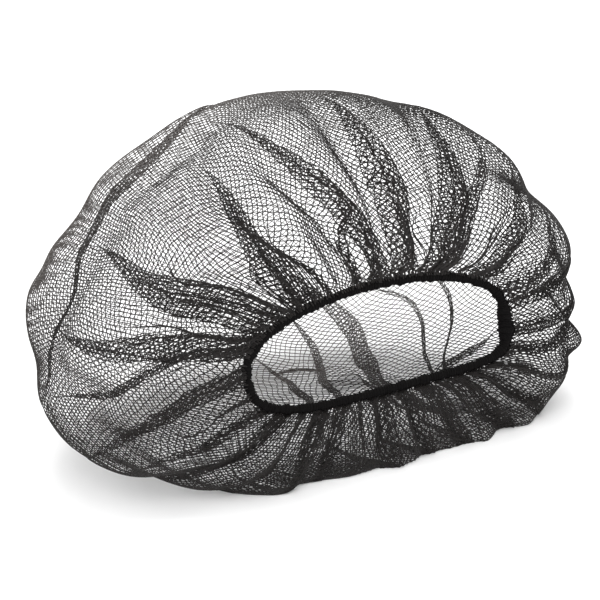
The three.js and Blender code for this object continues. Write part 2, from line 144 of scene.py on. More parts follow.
# Rings from the fullest one to the middle of the crown, with the same columns.
BACK = (
    (0.48, 0.551, 0.084, -0.018, 0.97, 1.00, 1.0, 1.00, 1.7, 2.0, 2.9, 2.4),
    (0.61, 0.731, 0.054, -0.021, 0.85, 0.87, 0.7, 0.97, 1.9, 2.0, 2.6, 2.2),
    (0.73, 0.880, 0.030, -0.024, 0.65, 0.62, 0.5, 0.84, 1.9, 1.9, 2.3, 2.2),
    (0.86, 0.970, 0.009, -0.024, 0.37, 0.31, 0.2, 0.48, 2.0, 2.0, 2.0, 2.0),
    (1.00, 1.000, 0.000, -0.024, 0.00, 0.00, 0.0, 0.00, 2.0, 2.0, 2.0, 2.0),
)
# Main folds: place at the hem and at the far end, reach, width and depth.
FOLDS = (
    (0.015, 0.016, 0.26, 0.90, 0.75), (0.062, 0.066, 0.30, 0.90, 0.75), (0.090, 0.088, 0.34, 0.90, 0.90),
    (0.137, 0.122, 0.38, 1.00, 1.00), (0.162, 0.166, 0.34, 1.10, 1.00), (0.190, 0.206, 0.26, 0.85, 0.75),
    (0.221, 0.224, 0.52, 1.20, 1.10), (0.247, 0.320, 0.42, 0.90, 0.90), (0.272, 0.277, 0.30, 1.00, 1.00),
    (0.312, 0.340, 0.34, 1.10, 1.00), (0.364, 0.420, 0.42, 1.10, 1.10), (0.428, 0.422, 0.36, 1.10, 1.00),
    (0.455, 0.457, 0.26, 0.90, 0.75), (0.472, 0.480, 0.40, 1.00, 0.90), (0.484, 0.540, 0.55, 1.10, 1.00),
    (0.509, 0.560, 0.42, 1.00, 0.90), (0.549, 0.566, 0.26, 0.90, 0.75), (0.580, 0.590, 0.24, 0.90, 0.75),
    (0.640, 0.655, 0.22, 0.90, 0.70), (0.670, 0.674, 0.20, 0.85, 0.60), (0.731, 0.735, 0.24, 1.00, 0.35),
    (0.770, 0.768, 0.22, 0.85, 0.60), (0.808, 0.808, 0.28, 1.00, 0.40), (0.856, 0.842, 0.26, 1.10, 0.60),
    (0.892, 0.884, 0.24, 1.10, 0.55), (0.950, 0.984, 0.24, 1.00, 0.75), (0.985, 1.008, 0.30, 1.00, 1.00),
)
# Pleats in which the spare cloth is laid over: place at the hem and at the far end, reach,
# the side to which it lies, and its share.
PLEATS = (
    (0.008, 0.016, 0.26, 1, 1.0), (0.030, 0.052, 0.26, 1, 1.1), (0.054, 0.058, 0.16, 1, 0.4),
    (0.074, 0.084, 0.32, 1, 1.4), (0.098, 0.096, 0.18, -1, 0.5), (0.120, 0.107, 0.38, 1, 1.5),
    (0.152, 0.138, 0.46, 1, 2.4), (0.182, 0.184, 0.18, -1, 0.5), (0.206, 0.214, 0.56, 1, 2.0),
    (0.228, 0.234, 0.16, 1, 0.4), (0.247, 0.302, 0.54, -1, 1.6), (0.279, 0.270, 0.26, 1, 1.0),
    (0.308, 0.312, 0.20, -1, 0.6), (0.348, 0.326, 0.35, -1, 2.4), (0.376, 0.384, 0.26, 1, 1.1),
    (0.408, 0.418, 0.46, -1, 2.8), (0.440, 0.446, 0.24, 1, 1.0), (0.462, 0.480, 0.44, -1, 2.4),
    (0.484, 0.537, 0.55, 1, 1.1), (0.508, 0.561, 0.42, -1, 1.5), (0.532, 0.545, 0.18, 1, 0.5),
    (0.550, 0.562, 0.28, 1, 0.9), (0.580, 0.592, 0.36, -1, 1.2), (0.610, 0.622, 0.22, 1, 0.6),
    (0.640, 0.657, 0.38, 1, 1.2), (0.672, 0.678, 0.32, 1, 1.0), (0.700, 0.704, 0.20, 1, 0.4),
    (0.729, 0.735, 0.42, -1, 1.3), (0.750, 0.752, 0.18, -1, 0.4), (0.770, 0.768, 0.40, 1, 1.2),
    (0.790, 0.788, 0.18, 1, 0.4), (0.808, 0.806, 0.42, 1, 1.3), (0.832, 0.826, 0.20, -1, 0.5),
    (0.856, 0.842, 0.40, 1, 1.3), (0.874, 0.866, 0.20, 1, 0.4), (0.892, 0.884, 0.36, -1, 1.1),
    (0.922, 0.930, 0.28, -1, 0.8), (0.950, 0.984, 0.28, -1, 1.0), (0.976, 0.996, 0.26, 1, 0.9),
)
# Creases that run down the far wall and the floor, seen through the opening: rows of place
# along, place round and half the cloth laid over, in millimetres.
DOWN_CREASES = (
    ((0.36, 0.762, 0.0), (0.50, 0.774, 5.0), (0.58, 0.793, 5.5), (0.68, 0.822, 4.0), (0.80, 0.852, 0.0)),
    ((0.36, 0.828, 5.0), (0.50, 0.842, 7.5), (0.59, 0.858, 9.0), (0.68, 0.889, 8.0), (0.84, 0.915, 0.0)),
    ((0.32, 0.870, 0.0), (0.44, 0.880, 2.5), (0.53, 0.907, 3.6), (0.62, 0.942, 3.2), (0.76, 0.965, 0.0)),
    ((0.36, 0.884, 0.0), (0.46, 0.907, 3.0), (0.52, 0.942, 3.6), (0.58, 0.968, 3.4), (0.68, 0.990, 0.0)),
    ((0.36, 0.728, 2.0), (0.52, 0.739, 5.0), (0.60, 0.752, 4.0), (0.74, 0.768, 0.0)),
    ((0.34, 0.800, 0.0), (0.42, 0.804, 3.5), (0.50, 0.812, 4.0), (0.56, 0.822, 0.0)),
)
# Creases that run round the bag: rows of place round, place along and half the cloth laid
# over, in millimetres.
ROUND_CREASES = (
    ((0.270, 0.545, 0.0), (0.310, 0.520, 6.5), (0.337, 0.505, 10.0), (0.372, 0.482, 10.5),
     (0.395, 0.480, 9.0), (0.413, 0.475, 7.0), (0.427, 0.460, 6.0), (0.440, 0.430, 4.5),
     (0.455, 0.405, 4.0), (0.480, 0.410, 4.0), (0.511, 0.440, 4.0), (0.540, 0.490, 0.0)),
    ((0.172, 0.165, 0.0), (0.190, 0.182, 1.6), (0.205, 0.205, 1.8), (0.220, 0.255, 0.0)),
    ((0.874, 0.440, 0.0), (0.889, 0.440, 3.5), (0.907, 0.442, 5.0), (0.925, 0.432, 3.5),
     (0.945, 0.430, 0.0)),
    ((0.740, 0.560, 0.0), (0.766, 0.640, 2.5), (0.785, 0.620, 3.5), (0.796, 0.570, 2.0),
     (0.806, 0.540, 0.0)),
)
# Dents, and puffs where the last number is below zero: place round and along, how far each
# way, and depth.
DENTS = (
    (0.462, 0.40, 0.050, 0.045, 1.2), (0.348, 0.43, 0.055, 0.050, 1.0),
    (0.275, 0.66, 0.030, 0.110, 0.9), (0.160, 0.58, 0.050, 0.080, 0.9),
    (0.090, 0.52, 0.030, 0.100, 1.0), (0.020, 0.62, 0.040, 0.080, 1.0),
    (0.940, 0.50, 0.040, 0.090, 0.9), (0.545, 0.66, 0.040, 0.080, 1.0),
    (0.420, 0.78, 0.060, 0.060, 0.9), (0.700, 0.84, 0.080, 0.050, 0.8),
    (0.755, 0.13, 0.030, 0.060, -1.2), (0.884, 0.21, 0.028, 0.070, -1.6), (0.990, 0.23, 0.028, 0.080, 1.5),
    (0.932, 0.2, 0.036, 0.100, 1.1), (0.036, 0.19, 0.018, 0.060, -0.2), (0.079, 0.28, 0.024, 0.080, -0.6),
    (0.187, 0.45, 0.028, 0.090, 0.7), (0.415, 0.61, 0.060, 0.080, 0.4), (0.600, 0.26, 0.030, 0.070, 0.5),
    (0.776, 0.17, 0.018, 0.060, 0.6), (0.563, 0.31, 0.020, 0.060, -0.4), (0.824, 0.175, 0.016, 0.060, -0.9),
    (0.730, 0.17, 0.014, 0.060, -0.8), (0.315, 0.57, 0.060, 0.070, -0.2), (0.014, 0.20, 0.014, 0.060, -0.8),
    (0.912, 0.19, 0.022, 0.070, 0.9), (0.796, 0.175, 0.020, 0.050, -0.8), (0.443, 0.60, 0.026, 0.060, 0.5),
    (0.385, 0.60, 0.026, 0.060, 0.45), (0.650, 0.22, 0.050, 0.060, -0.6), (0.462, 0.58, 0.012, 0.050, 0.5),
)
# The rim, a blunt crease where the bag turns over from its front to its back: rows of place
# round, place along and share of the rim's height.
RIM = (
    (0.000, 0.21, 0.35), (0.035, 0.25, 0.40), (0.080, 0.29, 0.50), (0.107, 0.37, 0.55), (0.142, 0.42, 0.60),
    (0.187, 0.44, 0.70), (0.221, 0.50, 0.80), (0.282, 0.52, 1.00), (0.320, 0.57, 1.00), (0.368, 0.60, 1.00),
    (0.453, 0.60, 1.00), (0.502, 0.51, 0.90), (0.546, 0.50, 0.60), (0.562, 0.34, 0.35), (0.600, 0.28, 0.20),
    (0.646, 0.20, 0.20), (0.731, 0.17, 0.15), (0.838, 0.18, 0.15), (0.912, 0.18, 0.20), (1.000, 0.21, 0.35),
)
# How far behind the middle the strands wholly take their paler colour, in metres. This is painted light
# standing in for the light and soft focus on the far side of the net.
FAR_PAINTED_LIGHT_FROM = 0.045
# The net's quarters, and which way each lies from the crown in the flat mesh.
QUARTERS = (("net_top", 1, 1), ("net_left", -1, 1), ("net_low", -1, -1), ("net_right", 1, -1))
# Thicker places of the elastic: place, how far it fades out, and share added.
LUMPS = ((0.985, 0.022, 0.34), (0.470, 0.020, 0.14), (0.560, 0.016, 0.12))


class NetSizes(bpy.types.PropertyGroup):
    disk: FloatProperty(
        name="Net across", description="Width of the net laid flat, a round disk", default=0.533,
        unit="LENGTH")
    pitch: FloatProperty(
        name="Mesh", description="Distance between neighbouring strands", default=0.0024, unit="LENGTH")
    strand: FloatProperty(
        name="Strand", description="Radius of one knitted strand", default=0.00027, unit="LENGTH")
    turned: FloatProperty(
        name="Turned", description="Angle of the mesh against the opening", default=math.radians(45),
        unit="ROTATION")
    slack: FloatProperty(
        name="Pleated slack", description="Share of the spare cloth that the pleats take up", default=0.9,
        min=0, max=1, subtype="FACTOR")
    uneven: FloatProperty(
        name="Uneven", description="How far a knot strays from its place", default=0.00038, unit="LENGTH")


class ElasticSizes(bpy.types.PropertyGroup):
    scallop: FloatProperty(
        name="Scallop", description="Distance between two bulges of the wrapped elastic", default=0.0036,
        unit="LENGTH")
    thread: FloatProperty(
        name="Thread", description="Radius of the wrapping thread", default=0.00034, unit="LENGTH")
    wraps: IntProperty(
        name="Wraps", description="Turns of thread round the elastic", default=230, min=20)


class Colours(bpy.types.PropertyGroup):
    strand: FloatVectorProperty(
        name="Strand", description="Nylon of the net", default=(0.007, 0.0058, 0.0054), subtype="COLOR")
    strand_light: FloatVectorProperty(
        name="Strand, light", description="Where the nylon has less dye", default=(0.026, 0.0215, 0.0198),
        subtype="COLOR")
    # Painted light: a paler strand colour for the far side of the net, standing in for how light and soft
    # focus pale the strands there.
    strand_far_painted_light: FloatVectorProperty(
        name="Strand, sheer", description="Nylon far from the opening, where it lets light through",
        default=(0.11, 0.098, 0.092), subtype="COLOR")
    elastic: FloatVectorProperty(
        name="Elastic", description="Thread that covers the elastic", default=(0.0032, 0.0028, 0.0028),
        subtype="COLOR")
    floor: FloatVectorProperty(
        name="Floor", description="Studio floor", default=(0.93, 0.93, 0.93), subtype="COLOR")


class Stage(bpy.types.PropertyGroup):
    azimuth: FloatProperty(
        name="Azimuth", description="Camera's angle to the left of the opening's axis",
        default=math.radians(-35.4), unit="ROTATION")
    height: FloatProperty(
        name="Elevation", description="Camera's angle above the floor", default=math.radians(25),
        unit="ROTATION")
    distance: FloatProperty(
        name="Distance", description="Camera's distance", default=1.3, unit="LENGTH")
    lens: FloatProperty(
        name="Lens", description="Focal length in millimetres", default=158.2)


class Value:
    """A shader socket that takes part in sums."""

    def __init__(self, material, socket):
        self.material = material
        self.socket = socket

    def _math(self, operation, first, second):
        return self.material.node("ShaderNodeMath", {"operation": operation}, {0: first, 1: second})

    def __sub__(self, other):
        return self._math("SUBTRACT", self, other)

    def __rsub__(self, other):
        return self._math("SUBTRACT", other, self)

    def __mul__(self, other):
        return self._math("MULTIPLY", self, other)

    __rmul__ = __mul__


class Finish:
    """A material that is made from nodes."""

    def __init__(self, name, **constants):
        self.data = bpy.data.materials.new(name)
        self.data.use_nodes = True
        self.tree = self.data.node_tree
        self.shader = self.tree.nodes["Principled BSDF"]
        self.set(self.shader, constants)

    def set(self, node, inputs):
        for key, value in inputs.items():
            socket = node.inputs[key.replace("_", " ") if isinstance(key, str) else key]
            if isinstance(value, Value):
                self.tree.links.new(value.socket, socket)
            elif socket.type == "RGBA" and len(value) == 3:
                socket.default_value = (*value, 1.0)
            else:
                socket.default_value = value

    def node(self, kind, settings=None, inputs=None, output=0):
        node = self.tree.nodes.new(kind)
        for key, value in (settings or {}).items():
            if key == "stops":
                ramp = node.color_ramp
                while len(ramp.elements) < len(value):
                    ramp.elements.new(0.5)
                for element, (place, colour) in zip(ramp.elements, value):
                    element.position = place
                    element.color = (*colour, 1.0)
            else:
                setattr(node, key, value)
        self.set(node, inputs or {})
        return Value(self, node.outputs[output])

    def place(self):
        return self.node("ShaderNodeTexCoord", output=3)


def smooth(value):
    x = np.clip(value, 0, 1)
    return x * x * (3 - 2 * x)


def apart(first, second):
    return np.mod(first - second + 0.5, 1.0) - 0.5


def unit(vectors):
    return vectors / np.maximum(np.linalg.norm(vectors, axis=-1, keepdims=True), 1e-12)


def ring_loop(depth, lean, side, half, crest, waist, foot, corners):
    """Points of one ring, evenly spaced round it from the top towards -X."""
    angle = TURN * (np.linspace(0, 1, LOOP_STEPS + 1) + 0.25)
    c, s = np.cos(angle), np.sin(angle)
    top_left, top_right, low_left, low_right = corners
    power = np.where(s > 0, np.where(c < 0, top_left, top_right), np.where(c < 0, low_left, low_right))
    x = np.sign(c) * np.abs(c) ** (2 / power)
    k = np.sign(s) * np.abs(s) ** (2 / power)
    reach = np.where(s > 0, crest - waist, waist - foot)
    raw = np.stack([side + half * x, depth + lean * k, waist + reach * k], 1)
    steps = np.linalg.norm(np.diff(raw, axis=0), axis=1)
    if steps.sum() < 1e-9:
        return raw
    run = np.concatenate([[0], np.cumsum(steps)]) / steps.sum()
    even = np.linspace(0, 1, LOOP_STEPS + 1)
    return np.stack([np.interp(even, run, raw[:, j]) for j in range(3)], 1)


def on_loop(loop, turns):
    place = np.mod(turns - 0.25, 1.0) * LOOP_STEPS
    i = np.minimum(place.astype(int), LOOP_STEPS - 1)
    f = (place - i)[..., None]
    return loop[i] * (1 - f) + loop[i + 1] * f


CENTRE = ring_loop(
    OPENING_DEPTH * BODY_DEPTH, OPENING_LEAN * BODY_DEPTH, OPENING_SIDE, OPENING_HALF,
    OPENING_CREST, OPENING_WAIST, OPENING_FOOT, OPENING_CORNERS)


def elastic_radius(turns):
    extra = 0
    for place, across, more in LUMPS:
        extra = extra + more * np.exp(-(apart(turns, place) / across) ** 2)
    return ELASTIC_RADIUS * (1 + extra)


def bunch(turns):
    """How far the hem that is bunched at the pleats and the uneven sewing stand out."""
    stand = 0.16 * np.sin(TURN * 31 * turns + 1) + 0.12 * np.sin(TURN * 53 * turns + 2)
    place, across, high = HEM_LUMP
    stand = stand + high * np.exp(-(apart(turns, place) / across) ** 2)
    for hem, _, _, _, weight in PLEATS:
        stand = stand + HEM_BUNCH * weight * np.exp(-(apart(turns, hem) / HEM_BUNCH_WIDTH) ** 2)
    return stand


def bulging(turns, bulges):
    """The swelling of the wrapped elastic, from 0 at a waist to 1 on a bulge."""
    return np.abs(np.sin(np.pi * bulges * turns + 0.6 * np.sin(TURN * 9 * turns)))


def elastic_frame(turns):
    """Centre of the elastic, its way on, and the ways out and forward."""
    turns = np.asarray(turns, float)
    step = 1.5 / LOOP_STEPS
    centre = on_loop(CENTRE, turns)
    on = unit(on_loop(CENTRE, turns + step) - on_loop(CENTRE, turns - step))
    out = unit(np.cross(on, [0.0, -1.0, 0.0]))
    return centre, on, out, unit(np.cross(out, on))


def build_rings():
    turns = np.linspace(0, 1, LOOP_STEPS + 1) + 0.25
    centre, _, out, _ = elastic_frame(turns)
    loops = [centre + out * (elastic_radius(turns) + ELASTIC_CLEARANCE)[:, None]]
    along = [0.0]
    starts = ((FRONT, OPENING_HALF, OPENING_CREST, OPENING_WAIST, OPENING_FOOT),
              (BACK, 0.0, CROWN_HEIGHT, CROWN_HEIGHT, CROWN_HEIGHT))
    for rows, half, crest, waist, foot in starts:
        for row in rows:
            place, depth, lean, side, spread, rise, settle, drop = row[:8]
            along.append(place)
            loops.append(ring_loop(
                depth * BODY_DEPTH, lean * BODY_DEPTH, side * BODY_WIDTH,
                half + (BODY_WIDTH / 2 - half) * spread,
                crest + (BODY_HEIGHT - crest) * rise,
                waist + (BODY_WAIST - waist) * settle,
                foot + (-SAG - foot) * drop, row[8:]))
    along = np.array(along)
    loops = np.array(loops)
    return along, loops, np.gradient(loops, along, axis=0)


ALONG, LOOPS, SLOPES = build_rings()
RING_LENGTHS = np.linalg.norm(np.diff(LOOPS, axis=1), axis=2).sum(1)


def form(turns, along):
    """The unfolded form: a smooth surface through the rings."""
    turns, along = np.broadcast_arrays(np.asarray(turns, float), np.asarray(along, float))
    x = np.clip(along, 0, 1)
    j = np.clip(np.searchsorted(ALONG, x, side="right") - 1, 0, len(ALONG) - 2)
    gap = (ALONG[j + 1] - ALONG[j])[..., None]
    f = (x - ALONG[j])[..., None] / gap
    place = np.mod(turns - 0.25, 1.0) * LOOP_STEPS
    i = np.minimum(place.astype(int), LOOP_STEPS - 1)
    g = (place - i)[..., None]

    def pick(table, row):
        return table[row, i] * (1 - g) + table[row, i + 1] * g

    return (pick(LOOPS, j) * (1 + 2 * f) * (1 - f) ** 2 + pick(LOOPS, j + 1) * f * f * (3 - 2 * f)
            + pick(SLOPES, j) * gap * f * (1 - f) ** 2 - pick(SLOPES, j + 1) * gap * f * f * (1 - f))


def outward(turns, along):
    step = 0.0015
    onward = form(turns + step, along) - form(turns - step, along)
    inward = form(turns, np.minimum(along + step, 1)) - form(turns, np.maximum(along - step, 0))
    return unit(np.cross(inward, onward))


def fold_depth(turns, along):
    depth = np.zeros(np.broadcast(turns, along).shape)
    for hem, end, reach, wide, deep in FOLDS:
        f = np.clip(along / reach, 0, 1)
        centre = hem + apart(end, hem) * smooth(f)
        width = FOLD_WIDTH * wide * (0.55 + 0.6 * f)
        fade = smooth(along / 0.12) * (1 - smooth((f - 0.3) / 0.7))
        depth += FOLD_DEPTH * deep * fade * np.exp(-(apart(turns, centre) / width) ** 2)
    for place, at, across, down, deep in DENTS:
        near = np.exp(-(apart(turns, place) / across) ** 2 - ((along - at) / down) ** 2)
        depth += DENT_DEPTH * deep * near
    return depth


def gathers(turns, along):
    """Small gathers by the elastic, puffs behind them and wide billows on the body."""
    uneven = turns + 0.006 * np.sin(TURN * 5 * turns + 1) + 0.004 * np.sin(TURN * 9 * turns + 2)
    small = np.sin(TURN * GATHERS * uneven + 3 * along) * (1 + 0.4 * np.sin(TURN * 7 * turns + 0.5))
    puff = np.sin(TURN * PUFFS * uneven + 1.7 + 2 * along) * (1 + 0.5 * np.sin(TURN * 3 * turns + 2.5))
    wide = np.sin(TURN * BILLOWS * uneven + 0.7) * (1 + 0.5 * np.sin(TURN * 2 * turns + 1.5))
    return (GATHER_DEPTH * small * smooth(along / 0.03) * (1 - smooth((along - 0.06) / 0.14))
            + PUFF_DEPTH * puff * smooth(along / 0.1) * (1 - smooth((along - 0.22) / 0.28))
            + BILLOW_DEPTH * wide * smooth((along - 0.1) / 0.2) * (1 - smooth((along - 0.55) / 0.35)))


def through(x, places, values):
    """A smooth curve through the values at the places."""
    places, values = np.asarray(places), np.asarray(values)
    slopes = np.gradient(values, places)
    x = np.clip(x, places[0], places[-1])
    j = np.clip(np.searchsorted(places, x, side="right") - 1, 0, len(places) - 2)
    gap = places[j + 1] - places[j]
    f = (x - places[j]) / gap
    return (values[j] * (1 + 2 * f) * (1 - f) ** 2 + values[j + 1] * f * f * (3 - 2 * f)
            + slopes[j] * gap * f * (1 - f) ** 2 - slopes[j + 1] * gap * f * f * (1 - f))


def bent(x, half, soft):
    """A line that climbs by twice the half width over that width, and is level elsewhere."""
    return 0.5 * (np.sqrt((x + half) ** 2 + soft ** 2) - np.sqrt((x - half) ** 2 + soft ** 2))


def laid_over(x, half, tile, soft):
    """Shift of a fold that lays over cloth, made good within a wider stretch round it."""
    return bent(x, half, soft) - 2 * half * bent(x, tile / 2, 0.3 * tile + 1e-9) / (tile + 1e-9)


def layered(x, half, spread):
    """Lift of a fold's layers: over the cloth on one side of it and under it on the other."""
    near = np.exp(-(x / (2 * half + spread)) ** 2)
    return near * (x / (half + spread)) * np.minimum(half / spread, 1)


def pleats(turns, along, radius, share):
    """Where each point of the net lies once the spare cloth is laid in overlapping pleats
    and creases, and how far the layers lift it."""
    layer = np.zeros(np.broadcast(turns, along).shape)

    onward = np.zeros_like(layer)
    for rows in ROUND_CREASES:
        places, at, half = np.array(rows).T
        x = along - through(np.mod(turns, 1.0), places, at)
        half = np.interp(np.mod(turns, 1.0), places, half, left=0, right=0) / radius
        onward -= 2 * laid_over(x, half, ROUND_STRETCH, ROUND_SOFT)
        layer += layered(x, half, ROUND_SPREAD)
    along = np.clip(along + onward, 0, 1)

    # Under the opening the cloth hangs stretched, and what it leaves lies slack on the floor.
    place, across, slack = HANGING
    hanging = np.exp(-(apart(turns, place) / across) ** 2)
    along = along + slack * hanging * smooth(along / 0.14) * (1 - smooth((along - 0.2) / 0.4))
    ring = np.maximum(np.interp(along, ALONG, RING_LENGTHS), 1.0)
    out_share = (np.sqrt(AT_CROWN ** 2 + 4 * (1 - AT_CROWN) * (1 - along)) - AT_CROWN) / (2 - 2 * AT_CROWN)
    spare = np.maximum(TURN * radius * out_share / ring, 1.0) - 1
    packed = 1 + share * spare * (1 - smooth((along - 0.30) / 0.26))
    laid = (packed - 1) / (2 * packed)
    fades = []
    for _, _, reach, _, weight in PLEATS:
        f = np.clip(along / reach, 0, 1)
        fades.append(weight * (1 - f))
    total = np.maximum(sum(fades), PLEAT_SHARES)
    moved = np.zeros_like(layer)
    for i, (hem, end, reach, side, _) in enumerate(PLEATS):
        f = np.clip(along / reach, 0, 1)
        centre = hem + apart(end, hem) * smooth(f) + 0.0025 * np.sin(9 * f + 2.3 * i) * f
        tile = fades[i] / total
        half = laid * tile / 2
        x = apart(turns, centre)
        # By the elastic a pleat is a stack of three folds, and only the middle one runs on.
        outer = OUTER_FOLDS * (1 - f)
        middle = laid_over(x, half * (1 - 2 * outer), tile, PLEAT_SOFT)
        aside = 2 * half * (1 - outer)
        beside = (laid_over(x - aside, half * outer, tile, PLEAT_SOFT)
                  + laid_over(x + aside, half * outer, tile, PLEAT_SOFT))
        moved -= 2 * packed * (middle + beside)
        layer -= side * PLEAT_LIFT * layered(x, half * (1 + 2 * outer), PLEAT_SPREAD)
    for rows in DOWN_CREASES:
        at, places, half = np.array(rows).T
        x = apart(turns, through(along, at, places))
        half = np.interp(along, at, half) * smooth((along - at[0] + 0.06) / 0.06) / ring
        moved -= DOWN_OVERLAP * laid_over(x, half, DOWN_STRETCH, DOWN_SOFT / ring)
        layer += layered(x, half, DOWN_SPREAD)
    return turns + moved, along, layer


def rim(turns, along):
    """Height of the rim. The cloth away from it is sunk, so that it keeps the outline."""
    places, at, stand = np.array(RIM).T
    away = along - np.interp(np.mod(turns, 1.0), places, at)
    stand = RIM_HEIGHT * np.interp(np.mod(turns, 1.0), places, stand)
    shape = np.exp(-np.sqrt(away * away + RIM_EDGE ** 2) / RIM_SPREAD) - 0.85
    return stand * shape * smooth(along / 0.14) * (1 - smooth((along - 0.75) / 0.25))


def net_points(turns, along, radius, share):
    """Points of the net and the ways out of it."""
    place, along, layer = pleats(turns, along, radius, share)
    lift = gathers(place, along) - fold_depth(place, along) + layer + rim(place, along)
    lift += NET_OUT * smooth(along / 0.2)
    normal = outward(place, along)
    points = form(place, along) + normal * lift[..., None]
    points[..., 2] = np.maximum(points[..., 2], 0.25)
    return points, normal


def hem_points(turns, angle):
    """Points of the hem where it is wrapped over the front of the elastic."""
    centre, _, out, forward = elastic_frame(turns)
    normal = out * np.cos(angle)[..., None] + forward * np.sin(angle)[..., None]
    away = HEM_OVER * elastic_radius(turns) + bunch(turns) + ELASTIC_CLEARANCE
    return centre + normal * away[..., None], normal


def moved_onto_frame():
    """How far the form lies from its place on the frame, in millimetres."""
    turns = np.linspace(0, 1, 2000, endpoint=False)
    angle = np.linspace(0, TURN, 36, endpoint=False)
    centre, _, out, forward = elastic_frame(turns)
    radius = elastic_radius(turns)[:, None, None]
    tube = (centre[:, None] + radius * (out[:, None] * np.cos(angle)[None, :, None]
                                        + forward[:, None] * np.sin(angle)[None, :, None])).reshape(-1, 3)
    own = (tube.min(0) + tube.max(0)) / 2
    cad = np.array((ELASTIC_BOX[0] + ELASTIC_BOX[1]) / 2) / MM
    shift = cad - own
    shift[2] = 0
    return shift


SHIFT = moved_onto_frame()


def in_metres(points):
    return (points + SHIFT) * MM


def mesh_object(name, points, faces, material, smooth_faces=True):
    mesh = bpy.data.meshes.new(name)
    mesh.from_pydata(points.tolist(), [], faces.tolist())
    mesh.materials.append(material)
    if smooth_faces:
        mesh.shade_smooth()
    mesh.update()
    obj = bpy.data.objects.new(name, mesh)
    bpy.context.scene.collection.objects.link(obj)
    return obj


def tubes(lines, normals, radius, sides):
    """Joined tubes along lines of equal length: arrays of (line, point, 3)."""
    count, length, _ = lines.shape
    way = unit(np.gradient(lines, axis=1))
    across = unit(np.cross(way, normals) + 1e-6)
    up = np.cross(across, way)
    angle = TURN * np.arange(sides) / sides
    if np.ndim(radius):
        radius = radius[..., None, None]
    ring = (lines[:, :, None] + radius * (across[:, :, None] * np.cos(angle)[:, None]
                                          + up[:, :, None] * np.sin(angle)[:, None]))
    base = (np.arange(count) * length * sides)[:, None, None]
    base = base + (np.arange(length - 1) * sides)[None, :, None]
    k = np.arange(sides)[None, None, :]
    n = (k + 1) % sides
    faces = np.stack([base + k, base + n, base + sides + n, base + sides + k], -1)
    return ring.reshape(-1, 3), faces.reshape(-1, 4)


def joined(parts):
    points, faces, start = [], [], 0
    for these, those in parts:
        points.append(these)
        faces.append(those + start)
        start += len(these)
    return np.concatenate(points), np.concatenate(faces)


def nylon(colours):
    finish = Finish("Knitted nylon", Roughness=0.55, Specular_IOR_Level=0.35)
    patchy = finish.node(
        "ShaderNodeTexNoise", {}, {"Vector": finish.place(), "Scale": 900.0, "Detail": 2.0})
    tone = finish.node(
        "ShaderNodeValToRGB", {"stops": ((0.35, colours.strand), (0.75, colours.strand_light))},
        {0: patchy})
    # Strands behind the middle are mixed towards a paler colour. This is painted light for the far side of
    # the net, not a colour of the nylon itself.
    depth = finish.node("ShaderNodeSeparateXYZ", {}, {0: finish.place()}, output=1)
    back = finish.node("ShaderNodeClamp", {}, {"Value": depth * (1 / FAR_PAINTED_LIGHT_FROM)})
    far_painted_light = back * back * (3 - 2 * back)
    mixed = finish.node(
        "ShaderNodeMix", {"data_type": "RGBA"}, {0: far_painted_light, 6: tone, 7: colours.strand_far_painted_light}, output=2)
    finish.set(finish.shader, {"Base Color": mixed})
    return finish.data


def wrapped_thread(colours):
    finish = Finish("Wrapping thread", Roughness=0.9, Specular_IOR_Level=0.12)
    fuzz = finish.node(
        "ShaderNodeTexNoise", {}, {"Vector": finish.place(), "Scale": 2600.0, "Detail": 3.0})
    lighter = tuple(channel * 2.2 for channel in colours.elastic)
    tone = finish.node(
        "ShaderNodeValToRGB", {"stops": ((0.4, colours.elastic), (0.8, lighter))}, {0: fuzz})
    relief = finish.node(
        "ShaderNodeBump", {}, {"Strength": 0.5, "Distance": 0.0002, "Height": fuzz})
    finish.set(finish.shader, {"Base Color": tone, "Normal": relief})
    return finish.data


def studio_floor(colours):
    finish = Finish("Studio floor", Roughness=0.9, Specular_IOR_Level=0.1)
    grain = finish.node(
        "ShaderNodeTexNoise", {}, {"Vector": finish.place(), "Scale": 3.0, "Detail": 1.0})
    near = tuple(channel * 0.99 for channel in colours.floor)
    tone = finish.node("ShaderNodeValToRGB", {"stops": ((0.0, near), (1.0, colours.floor))}, {0: grain})
    finish.set(finish.shader, {"Base Color": tone})
    return finish.data


def camera_axes(azimuth, height):
    level = math.cos(height)
    back = np.array([math.sin(azimuth) * level, -math.cos(azimuth) * level, math.sin(height)])
    right = np.array([math.cos(azimuth), math.sin(azimuth), 0.0])
    return back, right, np.cross(back, right)


